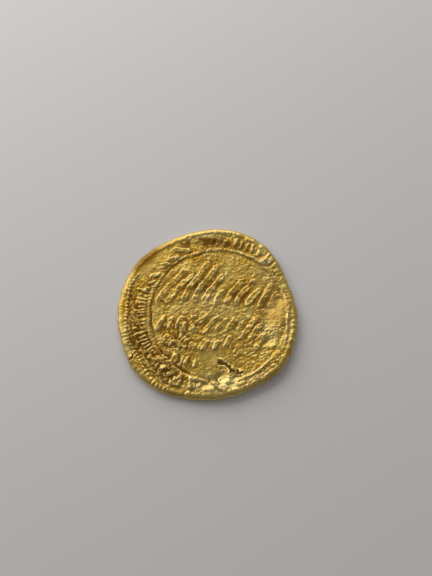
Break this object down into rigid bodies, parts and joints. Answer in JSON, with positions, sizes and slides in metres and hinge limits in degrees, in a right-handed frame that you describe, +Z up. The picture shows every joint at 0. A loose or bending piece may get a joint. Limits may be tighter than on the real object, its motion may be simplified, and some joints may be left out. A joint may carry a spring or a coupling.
{
  "type": "gold coin",
  "caption": "Hand-struck gold coin with an uneven round outline, a stroke margin, an inner circle and rows of leaning strokes on a worn face.",
  "frame": {"origin": "under the middle of the coin, on the plane that it lies on", "axes": "+Z up out of the better-kept face, +X to the right across the rows of strokes, +Y from the lowest row to the tallest"},
  "size_m": [0.0238, 0.024, 0.0015],
  "materials": {
    "gold": "worn satin gold with brown soil in the hollows"
  },
  "bodies": {
    "root": {"coin": "gold"}
  },
  "joints": []
}
